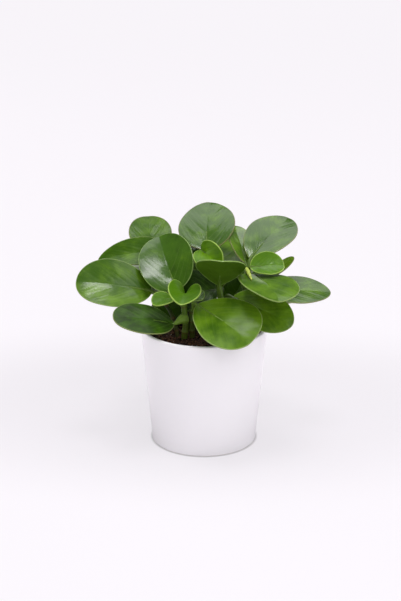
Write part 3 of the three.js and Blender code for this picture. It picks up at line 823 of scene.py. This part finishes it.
def midrib(leaf, s):
    """The midrib is an arc that droops by bend over the length: at a share s it is
    length sin(bend s) / bend forward and length (1 - cos(bend s)) / bend down. Also
    the face's own up direction there."""
    forward, _, up = blade_axes(leaf)
    bend = radians(leaf["bend"])
    s = np.asarray(s)[..., None]
    along = leaf["length"] * np.sin(bend * s) / bend
    drop = leaf["length"] * (1 - np.cos(bend * s)) / bend
    point = np.array(leaf["base"]) + forward * along - up * drop
    return point, up * np.cos(bend * s) + forward * np.sin(bend * s)


def half_width(leaf, s):
    """s to the power base_round times 1 - s to the power tip_round, scaled to half
    the width where it is widest."""
    base_round, tip_round = leaf["base_round"], leaf["tip_round"]
    widest = base_round / (base_round + tip_round)
    shape = s**base_round * (1 - s) ** tip_round
    return leaf["width"] / 2 * shape / (widest**base_round * (1 - widest) ** tip_round)


def blade_surface(leaf, s, w, lift, waves):
    """A point of the blade at a share s of its length and w millimetres from the
    midrib, lift 1 on its upper face and -1 on the lower. Each half rises at the
    fold's angle and turns up further by curl: at a share t of the half it is half /
    curl times (sin(fold + curl t) - sin fold) across and (cos fold - cos(fold +
    curl t)) up. The crease between them is a hyperbola, narrow at the base and as
    wide as a shallow dish at the tip, that leaves the margins where they are.
    waves says how far the face stands out of all that."""
    point, rise = midrib(leaf, s)
    left = blade_axes(leaf)[1]
    tip_fold = leaf.get("tip_fold", leaf["fold"])
    fold = np.radians(leaf["fold"] + (tip_fold - leaf["fold"]) * s)
    curl = radians(leaf["curl"])
    half = np.maximum(half_width(leaf, s), 1e-3)
    size = np.maximum(np.abs(w), 1e-3)
    t = np.minimum(size / half, 1)
    open_out = np.clip((s - OPEN_FROM) / OPEN_OVER, 0, 1)
    open_out = open_out**2 * (3 - 2 * open_out)
    soft = np.clip(NARROW_CREASE * half, SOLID_CREASE, BASE_CREASE)
    soft = np.maximum(soft, WIDE_CREASE * open_out * np.minimum(2 * TIP_CREASE, half))
    crease = np.hypot(w, soft)
    slope = half * (np.cos(fold) - np.cos(fold + curl * t)) / (curl * size)
    across = np.sign(w) * half * (np.sin(fold + curl * t) - np.sin(fold)) / curl
    above = (crease - np.hypot(half, soft) + np.hypot(half, SOLID_CREASE) - SOLID_CREASE) * slope
    lean = (fold + curl * t) * w / crease
    out = rise * np.cos(lean)[..., None] - left * np.sin(lean)[..., None]
    out_of_line = waves(s, w / (leaf["width"] / 2))
    plump = BLADE_THICKNESS / 2 * (lift - 1) + out_of_line
    return point + left * across[..., None] + rise * above[..., None] + out * plump[..., None]


def vein_place(along, aside):
    """Where along the midrib the side vein through a point left it: the share along it
    less VEIN_SWEEP aside (VEIN_SLOPE + VEIN_ARC aside), as a vein arcs to the tip."""
    return along - VEIN_SWEEP * aside * (VEIN_SLOPE + VEIN_ARC * aside)


def leaf_waves(leaf):
    """How far a leaf's face stands out of its plain form, in millimetres: each half
    is a low dome, with a groove on the midrib that fades to the tip, fine ones on
    the side veins of its lower half, low streaks between them, and a margin that
    goes up and down. Grooves are bells, and streaks and margin are sums of sines
    that begin at random on each half."""
    phase = draw.uniform(0, 2 * pi, 8)

    def waves(s, aside):
        side = np.abs(aside)
        share = np.clip(side * leaf["width"] / 2 / np.maximum(half_width(leaf, s), 1e-6), 0, 1)
        left_at = vein_place(s, side)
        apart = np.abs((left_at - FIRST_VEIN + VEIN_APART / 2) % VEIN_APART - VEIN_APART / 2)
        fade = 1 - np.clip((left_at - VEINS_END[0]) / (VEINS_END[1] - VEINS_END[0]), 0, 1)
        inward = (1 - share**3) * (1 - np.exp(-((side * RIB_CLEAR) ** 2)))
        vein = VEIN_GROOVE * leaf["veins"] * np.exp(-((apart / VEIN_WIDTH) ** 2)) * fade * inward
        from_rib = side * leaf["width"] / 2
        groove = RIB_GROOVE * (1 - s) ** 1.5 * np.exp(-((from_rib / GROOVE_WIDTH) ** 2))
        begin = np.where(aside > 0, phase[:4, None, None], phase[4:, None, None])
        streak = sum(
            part * np.sin(2 * pi * (along * left_at + across * side) + start)
            for (along, across, part), start in zip(STREAK_SETS, begin[:2])
        )
        rolling = sum(
            part * np.sin(2 * pi * count * s + start)
            for (count, part), start in zip(MARGIN_WAVES, begin[2:])
        )
        dome = DOME * (1 - DOME_FADE * s) * half_width(leaf, s) * 4 * share * (1 - share)
        edge = WAVE * share**2 * rolling * leaf["width"] / WAVE_WIDTH
        return dome + STREAKS * leaf["veins"] * streak * inward - vein - groove + edge

    return waves


def leaf_pattern():
    """The node group that colours every blade: a mottled face with streaks that run
    out as its side veins do, made paler with painted light or darker with painted
    shade by each blade's light, a paler midrib near the stalk, a thin line along the
    margin, pale green or dry and brown, and a dull underside."""
    tree = bpy.data.node_groups.new("leaf_pattern", "ShaderNodeTree")
    for name in GROWN_COLOURS:
        tree.interface.new_socket(name, in_out="INPUT", socket_type="NodeSocketColor")
    outputs = {"Color": "Color", "Roughness": "Float", "Gloss": "Float", "Height": "Float"}
    for name, kind in outputs.items():
        tree.interface.new_socket(name, in_out="OUTPUT", socket_type="NodeSocket" + kind)
    given = tree.nodes.new("NodeGroupInput").outputs
    out = tree.nodes.new("NodeGroupOutput").inputs
    place = spot(tree)
    names = "along", "aside", "from_rib", "rib_fade", "rim", "dry", "under", "light", "gloss"
    along, aside, from_rib, rib_fade, rim, dry, under, light, gloss = (
        node(tree, "Attribute", attribute_name=name).outputs["Fac"] for name in names
    )

    def times(one, other):
        return math(tree, "MULTIPLY", one, other)

    def plus(one, other):
        return math(tree, "ADD", one, other)

    def less(value):
        return math(tree, "SUBTRACT", 1.0, value)

    def centred(value):
        return math(tree, "SUBTRACT", value, 0.5)

    bent = times(plus(times(aside, VEIN_ARC), VEIN_SLOPE), aside)
    left_at = math(tree, "SUBTRACT", along, times(bent, VEIN_SWEEP))
    stretched = {0: times(left_at, GRAIN_STRETCH[0]), 1: times(aside, GRAIN_STRETCH[1]), 2: light}
    grain_place = node(tree, "CombineXYZ", stretched).outputs[0]
    cloud = noise(tree, place, scale=60.0, detail=3.0, roughness=0.55)
    fleck = noise(tree, place, scale=1100.0)
    grain = noise(tree, grain_place, scale=1.0, detail=3.0, roughness=0.45)
    patch = plus(times(centred(cloud), PATCHES), times(centred(grain), GRAIN_PATCHES))
    # painted light and shade: a blade's light lifts its mottle towards Face, or sinks it to Deep
    # and the painted Shade
    mottle_and_painted_light = plus(patch, light)
    face = mix(tree, step_up(tree, mottle_and_painted_light, 0.0, 1.0), given["Deep"], given["Face"])
    face = mix(tree, step_up(tree, mottle_and_painted_light, -0.9, 0.0), given["Shade"], face)
    off_first = math(tree, "SUBTRACT", left_at, FIRST_VEIN - VEIN_APART)
    vein = less(step_up(tree, math(tree, "PINGPONG", off_first, VEIN_APART / 2), 0.002, 0.016))
    vein = times(vein, less(step_up(tree, aside, 0.4, 0.9)))
    vein = times(vein, less(step_up(tree, left_at, *VEINS_END)))
    rib = less(step_up(tree, from_rib, 0.2, 0.85))
    rib = times(rib, less(step_up(tree, rib_fade, 0.3, 1.0)))
    veined = mix(tree, times(vein, VEIN_SHOWS), face, given["Vein"])
    ribbed = mix(tree, times(rib, RIB_SHOWS), veined, given["Vein"])
    pores = times(step_up(tree, fleck, 0.55, 0.75), PORES_SHOW)
    flecked = mix(tree, pores, ribbed, given["Vein"])
    two_sided = mix(tree, under, flecked, given["Under"])
    edge = mix(tree, dry, given["Margin"], given["Dry Margin"])
    tree.links.new(mix(tree, times(rim, MARGIN_SHOWS), two_sided, edge), out["Color"])
    rough = plus(BLADE_ROUGHNESS, times(grain, GRAIN_ROUGHNESS))
    tree.links.new(plus(rough, times(under, UNDER_ROUGHNESS)), out["Roughness"])
    tree.links.new(times(gloss, less(under)), out["Gloss"])
    tree.links.new(plus(times(grain, GRAIN_HEIGHT), times(fleck, PORE_HEIGHT)), out["Height"])
    return tree


def leaf_material(name, pattern, colours):
    """A glossy leaf finish that takes its colours through the leaf pattern."""
    material, tree, shader = finish_material(name, Specular_IOR_Level=0.15, Coat_Roughness=0.16)
    skin_node = node(tree, "Group", node_tree=pattern)
    for key, colour in colours.items():
        skin_node.inputs[key].default_value = paint(*colour)
    tree.links.new(skin_node.outputs["Color"], shader.inputs["Base Color"])
    tree.links.new(skin_node.outputs["Roughness"], shader.inputs["Roughness"])
    tree.links.new(skin_node.outputs["Gloss"], shader.inputs["Coat Weight"])
    height = skin_node.outputs["Height"]
    grain = node(tree, "Bump", {"Height": height, "Strength": 0.3, "Distance": 0.0002})
    tree.links.new(grain.outputs["Normal"], shader.inputs["Normal"])
    return material


pattern = leaf_pattern()
grown = leaf_material("grown_leaf", pattern, GROWN_COLOURS)
young = leaf_material("young_leaf", pattern, YOUNG_COLOURS)

stalk_skin, tree, shader = finish_material(
    "stalk_skin", Roughness=0.4, Coat_Weight=0.06, Specular_IOR_Level=0.3
)
place = spot(tree)
cloud = noise(tree, place, scale=160.0)
# painted shade: tone picks a shaded green for stalks under the blades, paler for lit ones
tone = node(tree, "Attribute", attribute_name="tone").outputs["Fac"]
shaded = mix(tree, cloud, paint(30, 48, 6), paint(46, 68, 14))
pale = mix(tree, cloud, paint(92, 128, 34), paint(122, 154, 60))
tree.links.new(mix(tree, tone, shaded, pale), shader.inputs["Base Color"])


def blade(leaf, material, slot):
    """A closed blade in rings round its middle. Each ring is a share reach of the
    way from the middle to the outline, in the flat of the leaf: up the upper face,
    round the margin in a half circle, and back along the lower face."""
    around = np.linspace(0, 2 * pi, BLADE_SIDES, endpoint=False)
    outline_s = (1 - np.cos(around)) / 2
    outline_w = np.sign(np.round(np.sin(around), 9)) * half_width(leaf, outline_s)
    upper = MARGIN_REACH * np.sin(np.linspace(0, pi / 2, UPPER_RINGS)[1:])
    lower = MARGIN_REACH * np.sin(np.linspace(pi / 2, 0, LOWER_RINGS)[:-1])
    bend = np.linspace(0, pi, MARGIN_RINGS)[1:-1]
    margin = MARGIN_REACH + (1 - MARGIN_REACH) * np.sin(bend)
    reach = np.concatenate([upper, margin, lower])[:, None]
    lift = np.concatenate([np.ones(len(upper)), np.cos(bend), -np.ones(len(lower))])[:, None]
    s = BLADE_MIDDLE + reach * (outline_s - BLADE_MIDDLE)
    w = reach * outline_w
    waves = leaf_waves(leaf)
    rings = blade_surface(leaf, s, w, lift, waves)
    middle = np.full((1, 1), BLADE_MIDDLE)
    ends = [blade_surface(leaf, middle, np.zeros((1, 1)), side, waves)[0, 0] for side in (1, -1)]
    to_margin = (1 - reach) * np.hypot((outline_s - BLADE_MIDDLE) * leaf["length"], outline_w)
    rim = np.clip((RIM_WIDTH - to_margin) / RIM_SOFT, 0, 1) * leaf["edge"]
    # painted light and shade, one for each half, merged across the midrib
    left_light, right_light = np.broadcast_to(leaf["light"], 2)
    leftness = 0.5 + 0.5 * np.tanh(w / HALVES_MERGE)
    light = right_light + (left_light - right_light) * leftness
    mean_light = (left_light + right_light) / 2
    skin(
        leaf["name"] + "_blade", rings, *ends, material, leaf["name"], slot,
        along=(s, BLADE_MIDDLE, BLADE_MIDDLE),
        aside=(np.abs(w) / (leaf["width"] / 2), 0, 0),
        from_rib=(np.abs(w), 0, 0),
        rib_fade=(s / leaf["rib"], 9, 9),
        rim=(rim, 0, 0),
        dry=(leaf["dry"],) * 3,
        under=(np.clip(-lift, 0, 1), 0, 1),
        light=(light, mean_light, mean_light),
        gloss=(leaf["gloss"],) * 3,
    )


def stalk(leaf, slot):
    """The leaf's stalk leaves the middle of its stem, arches over into the blade's
    direction, and runs on under the blade as its rib. Its radius falls smoothly to
    the rib's, by share^2 (3 - 2 share), and a flared stalk's does so at once."""
    stem_line = stem_lines[leaf["stem"]]
    start = np.array([np.interp(leaf["leave"], stem_line[:, 2], stem_line[:, k]) for k in range(3)])
    base = np.array(leaf["base"], float)
    reach = np.linalg.norm(base - start)
    arched = start + (base - start) / 3 + np.array([0, 0, STALK_ARCH * reach])
    way = [start, arched]
    if reach > SHORT_STALK:
        way.append(base - blade_axes(leaf)[0] * STALK_LEAD * reach)
    thin_from, thin_to = THIN_FROM * len(way) / (len(way) + 2), 1
    if "stalk" in leaf:
        thin_from, thin_to = 0, FLARE_SHARE
    for share in RIB_POINTS:
        s = np.full((1, 1), share * RIB_SHARE)
        way.append(blade_surface(leaf, s, 0 * s, 1 - 2 * RIB_SINK, lambda s, aside: 0 * s)[0, 0])
    line = route(way, STALK_STEPS)
    thick = leaf.get("stalk", STALK_RADIUS * (YOUNG_STALK_SHARE if leaf["young"] else 1))
    share = np.clip((np.linspace(0, 1, STALK_STEPS) - thin_from) / (thin_to - thin_from), 0, 1)
    radius = thick + (RIB_RADIUS - thick) * share**2 * (3 - 2 * share)
    skin(
        leaf["name"] + "_stalk", rod(line, radius[:, None], STALK_SIDES), line[0], line[-1],
        stalk_skin, leaf["name"], slot, tone=(leaf["tone"],) * 3,
    )


for row in LEAVES:
    leaf = PLAIN_LEAF | row
    material, slot = (young, "young_leaf") if leaf["young"] else (grown, "leaf")
    blade(leaf, material, slot)
    stalk(leaf, slot)
